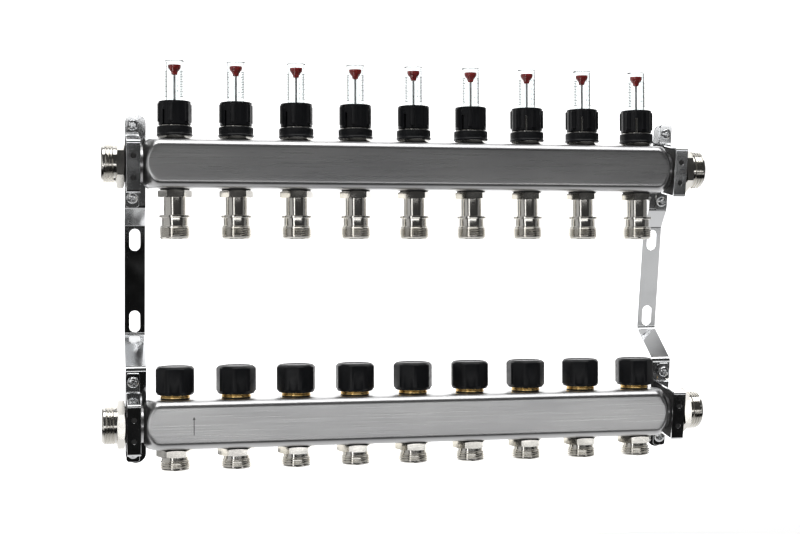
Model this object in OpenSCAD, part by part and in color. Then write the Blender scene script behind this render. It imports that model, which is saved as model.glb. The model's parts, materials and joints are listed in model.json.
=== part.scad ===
// Underfloor heating manifold: a flow bar with flow meters above a return bar
// with manual valves, held by clamps on two bent wall straps.
// +X runs along the bars, +Y goes into the wall and +Z is up. The origin lies on
// the wall plane, midway between the straps and midway between their slots.

/* [Layout] */
// Number of heating loops
loops = 9; // [3:1:9]
// Distance from one loop to the next
loop_pitch = 50; // [48:1:60]
// Height of the flow bar's axis above that of the return bar
bar_spacing = 210; // [205:1:230]
// Distance from the wall to the flow bar's axis
flow_depth = 32; // [32:1:36]
// How much further from the wall the return bar stands
bar_stagger = 30; // [24:1:34]
// Angle by which both bars are turned back in their clamps
bar_lean = 10; // [0:1:12]

/* [Bars] */
// Side of the square bar
bar_w = 40; // [38:0.5:40]
// Radius of the bar's long edges
bar_corner_r = 6; // [5:0.5:8]
// Wall of the bar
bar_wall = 1.5; // [1.2:0.1:2]
// Radius of the round neck at each end
neck_r = 15; // [14.6:0.1:15]
// Length of the round neck
neck_len = 13.5; // [13.5:0.5:16]
// Radius of the ports for valves and outlets
port_r = 10; // [9.5:0.1:10]
// Crest radius of the G1 thread at the bar's ends
end_thread_r = 16.5; // [16.2:0.1:16.7]
// Width across the flats of the end adapter's hexagon
end_hex = 34; // [34:0.5:36]

/* [Loop outlets] */
// Crest radius of the G3/4 thread of every loop outlet
loop_thread_r = 13.1; // [12.8:0.05:13.2]
// Distance from the flow bar's axis to the end of its outlets
flow_outlet_end = 61; // [58:0.5:66]
// Distance from the return bar's axis to the end of its outlets
return_outlet_end = 38; // [37:0.5:42]

/* [Flow meters] */
// Distance from the bar's axis to the top of the sight glass
glass_top = 85; // [82:0.5:90]
// Outer radius of the sight glass
glass_r = 7.8; // [7.2:0.1:7.9]
// Radius of the adjusting knob between its ribs
knob_r = 13.2; // [12.8:0.1:13.6]
// Height of the knob's top above the bar's axis
knob_top = 51.4; // [50:0.1:54]
// Travel of the float
float_travel = 22; // [15:1:22]

/* [Return valves] */
// Width across the flats of the octagonal cap
cap_flats = 31.2; // [30:0.2:33]
// Height of the cap's underside above the bar's axis
cap_base = 23.7; // [23.5:0.1:24.5]
// Height of the cap's top above the bar's axis
cap_top = 46.9; // [46:0.1:50]
// Free lift of the valve disc
valve_lift = 2.7; // [2.6:0.1:2.7]

/* [Straps and clamps] */
// Width of a wall strap
strap_w = 17; // [16:0.5:17]
// Thickness of a wall strap
strap_t = 2; // [1.6:0.1:2.2]
// Distance between the two wall slots of a strap
slot_spacing = 70; // [60:1:72]
// Width of a wall slot
slot_w = 9; // [7:0.5:9]
// Length of a wall slot
slot_len = 18.5; // [16:0.5:19]
// Width of a clamp
clamp_w = 11; // [10:0.5:11]
// Thickness of a clamp
clamp_t = 1.5; // [1.2:0.1:1.5]
// Distance from a bar's axis to each clamp screw
screw_reach = 30.3; // [30:0.1:31]

/* [Hidden] */
$fn = 64;
fit = 0.05; // radial gap of pieces that slide or turn in each other
cut = 1; // how far a cutter runs past the piece that it cuts

port_x = [for (i = [1:loops]) (i - (loops + 1) / 2) * loop_pitch];
flow_z = bar_spacing / 2 - 3;
return_z = flow_z - bar_spacing;
return_depth = flow_depth + bar_stagger;

bar_half = bar_w / 2;
bar_end = (loops - 1) / 2 * loop_pitch + 26; // where the drawn shoulder meets the neck
neck_end = bar_end + neck_len;
shoulder_len = 15; // length of the drawn shoulder
shoulder_edge = 2.2; // how squarely the shoulder leaves the long edges
shoulder_neck = 0.909; // how squarely it meets the neck
shoulder_r = (bar_half - bar_corner_r) * sqrt(2) + bar_corner_r - neck_r + 0.05; // up to the long edges
cavity_end = bar_end - 14; // end of the square cavity inside the bar
neck_bore = neck_r - 2.5;
gasket_t = 1;
spigot_r = port_r;
hex_base = bar_half + gasket_t;

end_hex_len = 6.5;
end_thread_len = 12;
end_pitch = 2.309; // pitch of G1
loop_thread_pitch = 1.814; // pitch of G3/4
thread_gap = 0.45; // opening of the groove between two thread crests
last_crest = 0.3; // least flat after the last groove
groove = 0.4; // depth of the thread groove

strap_x = neck_end - 8.3;
clamp_x = neck_end - 5.9;
clamp_back = 20.5; // from a bar's axis back to the strap's front face, clear of the bar
clamp_face = 18; // from a bar's axis forward to the inside of the clamp
clamp_half = bar_half; // half the clamp's height, inside
clamp_reach = 38; // from a bar's axis to the end of a clamp tab
strap_end = 39.5; // how far a strap runs past a bar's axis
strap_bend_r = 4;
bend_steps = 5;
peg_r = 2.1;
peg_z = 8.9;
screw_r = 2.45; // M5
screw_hole_r = 2.6;
screw_head_r = 4.7;
screw_head_h = 2.4;
nut_flats = 8;
nut_h = 4;

meter_tube_r = 9.5;
meter_tube_top = 46;
meter_bore = 5.5;
glass_base = 44;
glass_wall = 1.5;
collar_top = 31;
knob_base = 31.9;
spring_seat = 12;
shoulder_z = 47; // underside of the float rod's spring shoulder
rod_r = 1;
float_bottom = 75;
float_top = 81;

seat_z = -12.1; // top of the valve seat inside the bar
disc_t = 4;
pin_r = 2;
pin_top = 42;
insert_top = 36;
insert_thread_r = 13.4;
insert_floor = 3;
insert_chamber_top = 24;
pin_shoulder_z = 19;

// ---------- frames ----------

// Places children in the flow bar's own frame: X along it, Z along its ports
module at_flow_bar() {
    translate([0, -flow_depth, flow_z]) rotate([-bar_lean, 0, 0]) children();
}

// Places children in the return bar's own frame
module at_return_bar() {
    translate([0, -return_depth, return_z]) rotate([-bar_lean, 0, 0]) children();
}

// Repeats children at every loop
module at_each_loop() {
    for (x = port_x) translate([x, 0, 0]) children();
}

// Places children at both ends of a bar, with Z pointing outwards along it
module at_both_ends() {
    for (side = [-1, 1]) rotate([0, side * 90, 0]) children();
}

// Places children at the axis of each bar at both straps, upright as the wall
module at_clamps_of(depth, height) {
    for (side = [-1, 1]) translate([side * clamp_x, -depth, height]) children();
}

// ---------- shapes ----------

// Ring from z0 to z1
module ring(r_out, r_in, z0, z1) {
    difference() {
        translate([0, 0, z0]) cylinder(r = r_out, h = z1 - z0);
        translate([0, 0, z0 - cut]) cylinder(r = r_in, h = z1 - z0 + 2 * cut);
    }
}

// Solid cylinder from z0 to z1
module rod(r, z0, z1) {
    translate([0, 0, z0]) cylinder(r = r, h = z1 - z0);
}

// Regular prism with the given width across its flats, from z0 to z1
module prism(sides, flats, z0, z1) {
    translate([0, 0, z0])
        cylinder(r = flats / 2 / cos(180 / sides), h = z1 - z0, $fn = sides);
}

// Square with round corners, as exact arcs
module rounded_square(w, r) {
    square([w, w - 2 * r], center = true);
    square([w - 2 * r, w], center = true);
    for (x = [-1, 1], y = [-1, 1]) translate([x, y] * (w / 2 - r)) circle(r);
}

// Outline of a threaded stretch: narrow V grooves between flat crests
function thread_side(r, z0, z1, pitch) = let (turns = floor((z1 - z0 - last_crest) / pitch)) [
    for (k = [1:turns])
        for (p = [[r, -thread_gap], [r - groove, -thread_gap / 2], [r, 0]])
            [p[0], z0 + k * pitch + p[1]],
    [r, z1]
];

// Threaded cylinder from z0 to z1
module thread(r, z0, z1, pitch) {
    rotate_extrude()
        polygon(concat([[0, z1], [0, z0], [r, z0]], thread_side(r, z0, z1, pitch)));
}

// A spring pressed solid: its coils touch, so that it is one piece
module closed_spring(r, wire, z0, z1) {
    coils = floor((z1 - z0) / wire);
    step = (z1 - z0) / coils;
    rotate_extrude() polygon([
        for (k = [0:2 * coils]) [r + (k % 2 == 1 ? wire / 2 : wire / 4), z0 + k * step / 2],
        for (k = [2 * coils:-1:0]) [r - (k % 2 == 1 ? wire / 2 : wire / 4), z0 + k * step / 2]
    ]);
}

// ---------- bent strip ----------

function unit(v) = v / norm(v);
function left(v) = [-v[1], v[0]];
function turned(v, a) = [v[0] * cos(a) - v[1] * sin(a), v[0] * sin(a) + v[1] * cos(a)];
function reversed(list) = [for (i = [len(list) - 1:-1:0]) list[i]];

// One side of a strip that follows the corners p with round bends
function strip_side(p, r, off) = [
    p[0] + off * left(unit(p[1] - p[0])),
    for (i = [1:len(p) - 2])
        let (
            d = unit(p[i] - p[i - 1]),
            e = unit(p[i + 1] - p[i]),
            a = atan2(d[0] * e[1] - d[1] * e[0], d * e),
            s = sign(a),
            c = p[i] - d * r * tan(abs(a) / 2) + left(d) * s * r
        )
        for (k = [0:bend_steps])
            c - turned(left(d), a * k / bend_steps) * s * (r - s * off),
    p[len(p) - 1] + off * left(unit(p[len(p) - 1] - p[len(p) - 2]))
];

// Strip of thickness t through the (Y, Z) corners p, extruded along X
module bent_strip(p, r, t, w) {
    rotate([90, 0, 90]) linear_extrude(w, center = true)
        polygon(concat(strip_side(p, r, t / 2), reversed(strip_side(p, r, -t / 2))));
}

// ---------- wall straps ----------

// Corners of the strap's centre line, from the flow clamp down to the return clamp
strap_line = [
    [clamp_back - flow_depth + strap_t / 2, flow_z + strap_end],
    [clamp_back - flow_depth + strap_t / 2, flow_z - clamp_reach],
    [-strap_t / 2, flow_z - clamp_reach - 17],
    [-strap_t / 2, -slot_spacing / 2 - 12],
    [clamp_back - return_depth + strap_t / 2, return_z + clamp_reach + 3],
    [clamp_back - return_depth + strap_t / 2, return_z - strap_end]
];

// Stadium cut or blank: width w and overall length l along Z, through the Y direction
module upright_slot(w, l, z, y0, y1) {
    translate([0, y1, z]) rotate([90, 0, 0]) linear_extrude(y1 - y0) {
        square([w, l - w], center = true);
        for (end = [-1, 1]) translate([0, end * (l - w) / 2]) circle(w / 2);
    }
}

// A strap for the right (side = 1) or left (side = -1); its screw holes lie outside its middle
module bracket(side) {
    top = flow_z + strap_end;
    bottom = return_z - strap_end;
    difference() {
        intersection() {
            bent_strip(strap_line, strap_bend_r, strap_t, strap_w);
            upright_slot(strap_w, top - bottom, (top + bottom) / 2, -return_depth, cut);
        }
        for (z = [-1, 1] * slot_spacing / 2)
            upright_slot(slot_w, slot_len, z, -strap_t - cut, cut);
        for (z = [flow_z, return_z], end = [-1, 1])
            translate([side * (clamp_x - strap_x), cut, z + end * screw_reach])
                rotate([90, 0, 0]) cylinder(r = screw_hole_r, h = return_depth);
    }
}

module bracket_left() {
    color("gainsboro") translate([-strap_x, 0, 0]) bracket(-1);
}

module bracket_right() {
    color("gainsboro") translate([strap_x, 0, 0]) bracket(1);
}

// ---------- clamps ----------

// Hat-shaped strip over the neck, with two tabs against the strap
module clamp() {
    y_tab = clamp_back - clamp_t / 2;
    y_face = -clamp_face - clamp_t / 2;
    z_leg = clamp_half + clamp_t / 2;
    line = [
        [y_tab, clamp_reach], [y_tab, z_leg], [y_face, z_leg],
        [y_face, -z_leg], [y_tab, -z_leg], [y_tab, -clamp_reach]
    ];
    difference() {
        bent_strip(line, clamp_t, clamp_t, clamp_w);
        for (z = [-1, 1] * peg_z) translate([0, 0, z])
            rotate([90, 0, 0]) rod(peg_r + fit, clamp_face - cut, clamp_face + clamp_t + cut);
        for (z = [-1, 1] * screw_reach) translate([0, 0, z])
            rotate([-90, 0, 0]) rod(screw_hole_r, clamp_back - clamp_t - cut, clamp_back + cut);
    }
}

module flow_clamps() {
    color("silver") at_clamps_of(flow_depth, flow_z) clamp();
}

module return_clamps() {
    color("silver") at_clamps_of(return_depth, return_z) clamp();
}

// Rubber block round the neck, with two pegs through the clamp's face
module clamp_liner() {
    relief = clamp_t / 2; // leaves room for the bends inside the clamp
    difference() {
        union() {
            translate([-clamp_w / 2, -clamp_face, -clamp_half + relief])
                cube([clamp_w, clamp_face + clamp_back, 2 * (clamp_half - relief)]);
            for (z = [-1, 1] * peg_z) translate([0, 0, z])
                rotate([90, 0, 0]) rod(peg_r, clamp_face - cut, clamp_face + clamp_t + 0.4);
        }
        rotate([0, 90, 0]) cylinder(r = neck_r + fit, h = clamp_w + 2 * cut, center = true);
    }
}

module clamp_liners() {
    color("dimgray") at_clamps_of(flow_depth, flow_z) clamp_liner();
    color("dimgray") at_clamps_of(return_depth, return_z) clamp_liner();
}

// Pan-head screw through tab, strap and nut, with a cross recess in its head
module clamp_screw() {
    head_y = clamp_back - clamp_t;
    rotate([-90, 0, 0]) difference() {
        union() {
            rod(screw_head_r, head_y - screw_head_h, head_y);
            rod(screw_r, head_y, clamp_back + strap_t + nut_h + 1);
        }
        for (a = [0, 90]) rotate([0, 0, a])
            translate([0, 0, head_y - screw_head_h]) cube([4.4, 0.9, 2.4], center = true);
    }
}

module clamp_nut() {
    rotate([-90, 0, 0]) difference() {
        prism(6, nut_flats, clamp_back + strap_t, clamp_back + strap_t + nut_h);
        rod(screw_r + fit, clamp_back + strap_t - cut, clamp_back + strap_t + nut_h + cut);
    }
}

module at_clamp_screws() {
    for (end = [-1, 1] * screw_reach) {
        at_clamps_of(flow_depth, flow_z) translate([0, 0, end]) children();
        at_clamps_of(return_depth, return_z) translate([0, 0, end]) children();
    }
}

module clamp_screws() {
    color("lightgray") at_clamp_screws() clamp_screw();
}

module clamp_nuts() {
    color("lightgray") at_clamp_screws() clamp_nut();
}

// ---------- bars ----------

// Outline of half a bar's drawn shoulder, as radius against distance from the middle
function shoulder_line(r) = [
    for (k = [0:12]) let (t = sin(90 * k / 12))
        [r + shoulder_r * pow(1 - pow(t, shoulder_edge), shoulder_neck), bar_end + shoulder_len * (t - 1)]
];

// Body of a bar: square stretch, drawn shoulders and round necks, all hollow
module bar() {
    difference() {
        union() {
            intersection() {
                rotate([90, 0, 90]) linear_extrude(2 * bar_end, center = true)
                    rounded_square(bar_w, bar_corner_r);
                at_both_ends() rotate_extrude()
                    polygon(concat([[0, -cut], [neck_r + shoulder_r, -cut]],
                        shoulder_line(neck_r), [[0, bar_end]]));
            }
            rotate([0, 90, 0]) cylinder(r = neck_r, h = 2 * neck_end, center = true);
        }
        rotate([90, 0, 90])
            linear_extrude(2 * cavity_end, center = true)
                rounded_square(bar_w - 2 * bar_wall, bar_corner_r - bar_wall);
        rotate([0, 90, 0])
            cylinder(r = neck_bore, h = 2 * (neck_end + cut), center = true);
        at_each_loop() rod(port_r + fit, -bar_half - cut, bar_half + cut);
    }
}

// Hexagon with a spigot in the neck and a G1 thread outside
module end_adapter() {
    hex_start = neck_end + gasket_t;
    hex_end = hex_start + end_hex_len;
    difference() {
        union() {
            rod(neck_bore - fit, bar_end, hex_start);
            prism(6, end_hex, hex_start, hex_end);
            thread(end_thread_r, hex_end, hex_end + end_thread_len, end_pitch);
        }
        rod(neck_bore - 2, bar_end - cut, hex_end + end_thread_len + cut);
    }
}

module end_adapters() {
    at_both_ends() end_adapter();
}

module end_seals() {
    at_both_ends() ring(neck_r, neck_bore + fit, neck_end, neck_end + gasket_t);
}

module port_seal(z) {
    ring(port_r + 1.8, spigot_r + fit, z, z + gasket_t);
}

module flow_bar() {
    color("gray") at_flow_bar() bar();
}

module flow_end_adapters() {
    color("silver") at_flow_bar() end_adapters();
}

module flow_end_seals() {
    color("black") at_flow_bar() end_seals();
}

module return_bar() {
    color("darkgray") at_return_bar() bar();
}

module return_end_adapters() {
    color("silver") at_return_bar() end_adapters();
}

module return_end_seals() {
    color("black") at_return_bar() end_seals();
}

// Gaskets under the flow meters and above the long outlets
module flow_port_seals() {
    color("black") at_flow_bar() at_each_loop() {
        port_seal(bar_half);
        port_seal(-hex_base);
    }
}

// Gaskets under the valve inserts and above the short outlets
module return_port_seals() {
    color("black") at_return_bar() at_each_loop() {
        port_seal(bar_half);
        port_seal(-hex_base);
    }
}

// ---------- loop outlets ----------

// Long outlet below the flow bar, in the bar's frame, with its thread down
module flow_outlet() {
    hex_end = hex_base + 6;
    tube_end = hex_end + 14.5;
    flange_end = tube_end + 2;
    neck_stop = flange_end + 7;
    rotate([180, 0, 0]) difference() {
        union() {
            rod(spigot_r, 14, hex_base);
            prism(6, 24, hex_base, hex_end);
            rod(9.25, hex_end, tube_end);
            rod(13, tube_end, flange_end);
            rod(11, flange_end, neck_stop);
            thread(loop_thread_r, neck_stop, flow_outlet_end, loop_thread_pitch);
        }
        rod(7.5, 14 - cut, flow_outlet_end + cut);
    }
}

// Short outlet below the return bar, whose inner end is the valve seat
module return_outlet() {
    hex_end = hex_base + 6;
    neck_stop = hex_end + 3;
    rotate([180, 0, 0]) difference() {
        union() {
            rod(spigot_r, -seat_z, hex_base);
            prism(6, 27, hex_base, hex_end);
            rod(11.2, hex_end, neck_stop);
            thread(loop_thread_r, neck_stop, return_outlet_end, loop_thread_pitch);
        }
        rod(6.5, -seat_z - cut, return_outlet_end + cut);
    }
}

module flow_outlets() {
    color("silver") at_flow_bar() at_each_loop() flow_outlet();
}

module return_outlets() {
    color("silver") at_return_bar() at_each_loop() return_outlet();
}

// ---------- flow meters ----------

// Plated body: spigot, hexagon, the knob's stop ring and the tube that carries the knob
module meter_body() {
    difference() {
        union() {
            rod(spigot_r, spring_seat - 4, hex_base);
            prism(6, 24, hex_base, collar_top - 8);
            rod(meter_tube_r, collar_top - 8, meter_tube_top);
            rod(knob_r - 0.8, collar_top, collar_top + 0.6);
        }
        rod(rod_r + 0.4, 0, spring_seat + cut);
        rod(meter_bore, spring_seat, meter_tube_top + cut);
        rod(glass_r + fit, glass_base, meter_tube_top + cut);
    }
}

module meter_bodies() {
    color("silver") at_flow_bar() at_each_loop() meter_body();
}

// Black locking collar under the knob
module meter_collar() {
    low = collar_top - 8;
    difference() {
        union() {
            rod(knob_r + 1.1, low + 1.5, collar_top);
            rod(knob_r + 1.5, low, low + 1.5);
        }
        rod(meter_tube_r + fit, low - cut, collar_top + cut);
    }
}

module meter_collars() {
    color("#26272b") at_flow_bar() at_each_loop() meter_collar();
}

// Clear tube with a closed top
module sight_glass() {
    difference() {
        rod(glass_r, glass_base, glass_top);
        rod(glass_r - glass_wall, glass_base - cut, glass_top - glass_wall);
    }
}

module sight_glasses() {
    color("lightcyan", 0.4) at_flow_bar() at_each_loop() sight_glass();
}

module meter_springs() {
    color("silver") at_flow_bar() at_each_loop()
        closed_spring(3.6, 1.2, spring_seat, shoulder_z - float_travel - 0.5);
}

// Turn of a knob about its own axis, as left by the installer
function knob_turn(i) = i > 6 ? -20 : -46;

// Ribbed knob with one slit up its wall
module meter_knob(i) {
    ribs = 6;
    color("#1c1d20") at_flow_bar() translate([port_x[i - 1], 0, 0])
        rotate([0, 0, knob_turn(i)]) difference() {
            union() {
                rod(knob_r, knob_base, knob_top);
                for (k = [0:ribs - 1]) rotate([0, 0, k * 360 / ribs])
                    translate([knob_r - 2, -1.6, knob_base + 2.2]) cube([3, 3.2, 15.4]);
            }
            rod(meter_tube_r + 2 * fit, knob_base - cut, meter_tube_top + 0.4);
            rod(glass_r + 0.25, knob_base, knob_top + cut);
            translate([-1, -knob_r - cut, knob_base - cut]) cube([2, knob_r, 13.5]);
        }
}

// Red funnel, rod with a spring shoulder, and the disc that the flow pulls down
module flow_float(i) {
    disc_z = -22;
    color("firebrick") at_flow_bar() translate([port_x[i - 1], 0, 0]) {
        rod(6.8, disc_z - 2, disc_z);
        rod(rod_r, disc_z, float_top - 1);
        rod(3.5, shoulder_z, shoulder_z + 2);
        translate([0, 0, float_bottom])
            cylinder(r1 = 2.6, r2 = 5.2, h = float_top - float_bottom);
    }
}

// ---------- return valves ----------

// Brass insert: threaded collar, pin guide and spring chamber
module insert_body() {
    floor_z = insert_floor - 1;
    difference() {
        union() {
            rod(spigot_r, floor_z, hex_base);
            rod(12.2, hex_base, 24.2);
            thread(insert_thread_r, 24.2, insert_top, 1.5);
        }
        rod(pin_r + 0.5, floor_z - cut, insert_floor + cut);
        rod(6, insert_floor, insert_chamber_top);
        rod(pin_r + 0.06, insert_chamber_top - cut, insert_top + cut);
    }
}

module insert_bodies() {
    color("goldenrod") at_return_bar() at_each_loop() insert_body();
}

module valve_springs() {
    color("silver") at_return_bar() at_each_loop()
        closed_spring(3.6, 1.1, insert_floor, pin_shoulder_z - 3);
}

// Pin with its spring shoulder and the rubber-faced disc over the seat
module valve_pin(i) {
    disc_z = seat_z + valve_lift;
    color("gold") at_return_bar() translate([port_x[i - 1], 0, 0]) {
        rod(8, disc_z, disc_z + disc_t);
        rod(pin_r, disc_z + disc_t, pin_top);
        rod(4.5, pin_shoulder_z, pin_shoulder_z + 2);
    }
}

// Turn of a cap about its own axis, different at every loop
function cap_turn(i) = 17 * i % 45;

// Octagonal cap with bevelled rims, screwed over the insert
module cap(i) {
    bevel = 2.4;
    across = cap_flats / cos(180 / 8); // across the corners
    mid = (cap_base + cap_top) / 2;
    color("#1f2024") at_return_bar() translate([port_x[i - 1], 0, 0])
        rotate([0, 0, cap_turn(i)]) difference() {
            intersection() {
                prism(8, cap_flats, cap_base, cap_top);
                rotate_extrude() polygon([
                    [0, cap_base], [across / 2 - bevel, cap_base],
                    [across / 2 - 0.3, cap_base + bevel], [across / 2 - 0.3, cap_top - bevel],
                    [across / 2 - bevel, cap_top], [0, cap_top]
                ]);
            }
            rod(insert_thread_r + 2 * fit, cap_base - cut, pin_top);
        }
}

// ---------- nodes ----------

bracket_left();
bracket_right();
flow_clamps();
return_clamps();
clamp_liners();
clamp_screws();
clamp_nuts();
flow_bar();
flow_end_adapters();
flow_end_seals();
flow_outlets();
flow_port_seals();
meter_bodies();
meter_collars();
sight_glasses();
meter_springs();
return_bar();
return_end_adapters();
return_end_seals();
return_outlets();
return_port_seals();
insert_bodies();
valve_springs();
for (i = [1:loops]) {
    meter_knob(i);
    flow_float(i);
    cap(i);
    valve_pin(i);
}
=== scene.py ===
"""Underfloor heating manifold: the visual model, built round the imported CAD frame.

Shapes are drawn in millimetres in the frame of the part that they belong to, and
matrices place them in the row's frame, in metres.
"""
import json
from math import atan2, cos, pi, radians, sin, sqrt, tan

import bmesh
import bpy
from mathutils import Matrix, Vector
from mathutils.geometry import tessellate_polygon


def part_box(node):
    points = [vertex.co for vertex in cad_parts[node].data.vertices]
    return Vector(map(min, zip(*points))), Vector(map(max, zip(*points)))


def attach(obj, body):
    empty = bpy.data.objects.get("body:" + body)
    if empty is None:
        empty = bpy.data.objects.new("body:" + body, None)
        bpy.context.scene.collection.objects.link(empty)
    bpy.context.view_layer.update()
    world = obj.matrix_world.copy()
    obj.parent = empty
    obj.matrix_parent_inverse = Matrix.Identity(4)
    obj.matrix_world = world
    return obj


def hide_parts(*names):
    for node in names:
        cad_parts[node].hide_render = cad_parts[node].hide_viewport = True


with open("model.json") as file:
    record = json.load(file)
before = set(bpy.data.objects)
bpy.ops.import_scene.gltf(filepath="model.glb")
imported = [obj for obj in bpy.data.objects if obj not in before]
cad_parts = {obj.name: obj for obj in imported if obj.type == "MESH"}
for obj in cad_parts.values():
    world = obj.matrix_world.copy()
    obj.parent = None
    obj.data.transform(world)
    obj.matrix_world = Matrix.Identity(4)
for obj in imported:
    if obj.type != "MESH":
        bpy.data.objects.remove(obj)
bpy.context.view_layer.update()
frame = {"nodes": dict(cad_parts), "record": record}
record = frame["record"]

MM = 0.001
LOOPS = range(1, 10)

# ---------------------------------------------------------------- places

joints = {j["name"]: j for j in record["behaviour"]["joints"]}
FLOW_AXIS = Vector(joints["flow_bar_turn"]["pos_m"])
RETURN_AXIS = Vector(joints["return_bar_turn"]["pos_m"])
PORT_UP = Vector(joints["float_slide_1"]["axis"])
LEAN = atan2(PORT_UP.y, PORT_UP.z)
PORT_X = [joints[f"meter_knob_turn_{i}"]["pos_m"][0] / MM for i in LOOPS]

to_mm = Matrix.Scale(MM, 4)
flow_frame = Matrix.Translation(FLOW_AXIS) @ Matrix.Rotation(-LEAN, 4, "X") @ to_mm
return_frame = Matrix.Translation(RETURN_AXIS) @ Matrix.Rotation(-LEAN, 4, "X") @ to_mm

# ---------------------------------------------------------------- sizes, in mm

BAR_HALF, BAR_CORNER, BAR_WALL = 20.0, 6.0, 1.5
BAR_END = PORT_X[-1] + 26
SHOULDER_LEN = 15.0
NECK_R, NECK_BORE = 15.0, 12.5
SHOULDER_R = (BAR_HALF - BAR_CORNER) * sqrt(2) + BAR_CORNER - NECK_R
NECK_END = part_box("flow_bar")[1][0] / MM
END_HEX, END_THREAD_R, END_PITCH = 34.0, 16.5, 2.309
CLAMP_W, CLAMP_T, CLAMP_BACK, CLAMP_FACE, CLAMP_REACH = 11.0, 1.5, 20.5, 18.0, 38.0
CLAMP_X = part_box("flow_clamps")[1][0] / MM - CLAMP_W / 2
STRAP_W, STRAP_T, STRAP_END = 17.0, 2.0, 39.5
STRAP_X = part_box("bracket_right")[1][0] / MM - STRAP_W / 2
SCREW_REACH, SCREW_HOLE, PEG_Z, PEG_HOLE = 30.3, 5.2, 8.9, 4.3
PORT_R = 10.05
LOOP_THREAD_R, LOOP_THREAD_ROOT, LOOP_PITCH = 13.1, 12.15, 1.814
KNOB_R, KNOB_BASE, KNOB_TOP = 13.2, 31.9, 51.4
GLASS_R, GLASS_BASE, GLASS_TOP = 7.8, 44.0, 85.0
CAP_FLATS, CAP_BASE, CAP_TOP = 31.2, 23.7, 46.9

# ---------------------------------------------------------------- mesh tools


def placed(part, *matrices):
    """One (points, faces) part, copied to each matrix."""
    points, faces = part
    out_points, out_faces = [], []
    for m in matrices:
        base = len(out_points)
        out_points += [m @ Vector(p) for p in points]
        out_faces += [[base + i for i in f] for f in faces]
    return out_points, out_faces


def joined(*parts):
    """Several (points, faces) parts as one."""
    points, faces = [], []
    for p, f in parts:
        base = len(points)
        points += list(p)
        faces += [[base + i for i in face] for face in f]
    return points, faces


def shell(rings, closed=True):
    """Quads between neighbouring rings of points, and from the last ring to the first."""
    n = len(rings[0])
    points = [p for ring in rings for p in ring]
    faces = []
    for k in range(len(rings) if closed else len(rings) - 1):
        a, b = k * n, (k + 1) % len(rings) * n
        faces += [[a + i, a + (i + 1) % n, b + (i + 1) % n, b + i] for i in range(n)]
    return points, faces


def ring(radius, height, steps=72):
    """A ring round Z, whose radius and height may be functions of the angle."""
    out = []
    for k in range(steps):
        a = 2 * pi * k / steps
        r = radius(a) if callable(radius) else radius
        z = height(a) if callable(height) else height
        out.append((r * cos(a), r * sin(a), z))
    return out


def filleted(outline, radius, steps=3):
    """A closed (r, z) outline with its corners rounded, except those on the axis."""
    out = []
    n = len(outline)
    for k in range(n):
        a, b, c = Vector(outline[k - 1]), Vector(outline[k]), Vector(outline[(k + 1) % n])
        reach = min(radius, (a - b).length * 0.45, (c - b).length * 0.45)
        if b.x < 1e-6 or reach < 1e-3:
            out.append(tuple(b))
            continue
        p, q = b + (a - b).normalized() * reach, b + (c - b).normalized() * reach
        for i in range(steps + 1):
            t = i / steps
            out.append(tuple(p * (1 - t) ** 2 + b * 2 * t * (1 - t) + q * t * t))
    return out


def lathe(outline, radius=0.3, steps=72):
    """A closed (r, z) outline turned round Z, with rounded edges."""
    return shell([ring(r, z, steps) for r, z in filleted(outline, radius)])


def side_radius(sides, flats, corner_r=1e9):
    """Distance to the side of a regular prism at an angle, with corners turned off at corner_r."""
    def radius(a):
        sector = 2 * pi / sides
        off = a % sector - sector / 2
        return min(flats / 2 / cos(off), corner_r)
    return radius


def nut_prism(sides, flats, z0, z1, bore, corner_r=1e9, slope=0.5, face_r=None, steps=None):
    """A prism whose corners are turned off by a cone at both faces, as on a real nut."""
    steps = steps or sides * 12
    side = side_radius(sides, flats, corner_r)
    face = face_r or flats / 2 - 0.2
    low = ring(side, lambda a: z0 + (side(a) - face) * slope, steps)
    high = ring(side, lambda a: z1 - (side(a) - face) * slope, steps)
    return shell([ring(bore, z0, steps), ring(face, z0, steps), low, high,
                  ring(face, z1, steps), ring(bore, z1, steps)])


def thread_ridge(root, crest, pitch, z0, z1, per_turn=40):
    """A helical ridge on a root cylinder, which runs out at both ends."""
    turns = (z1 - z0 - pitch) / pitch
    count = int(turns * per_turn)
    rings = []
    for k in range(count + 1):
        a = 2 * pi * k / per_turn
        mid = z0 + pitch / 2 + k / per_turn * pitch
        rise = min(1, k / 10, (count - k) / 10) * (crest - root)
        section = [(root - 0.15, -0.44), (root + rise, -0.09), (root + rise, 0.09), (root - 0.15, 0.44)]
        rings.append([(r * cos(a), r * sin(a), mid + t * pitch) for r, t in section])
    points, faces = shell(rings, closed=False)
    last = len(points) - 4
    return points, faces + [[3, 2, 1, 0], [last, last + 1, last + 2, last + 3]]


def outline_of(cx, cy, w, h, r, steps=10):
    """A rounded rectangle as a function that also gives it grown by an amount."""
    def grown(by):
        rr = r + by
        out = []
        for quarter, (sx, sy) in enumerate(((1, 1), (-1, 1), (-1, -1), (1, -1))):
            for k in range(steps + 1):
                a = (quarter + k / steps) * pi / 2
                point = (cx + sx * (w / 2 - r) + rr * cos(a), cy + sy * (h / 2 - r) + rr * sin(a))
                if not out or (Vector(point) - Vector(out[-1])).length > 1e-4:
                    out.append(point)
        if (Vector(out[0]) - Vector(out[-1])).length < 1e-4:
            out.pop()
        return out
    return grown


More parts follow.
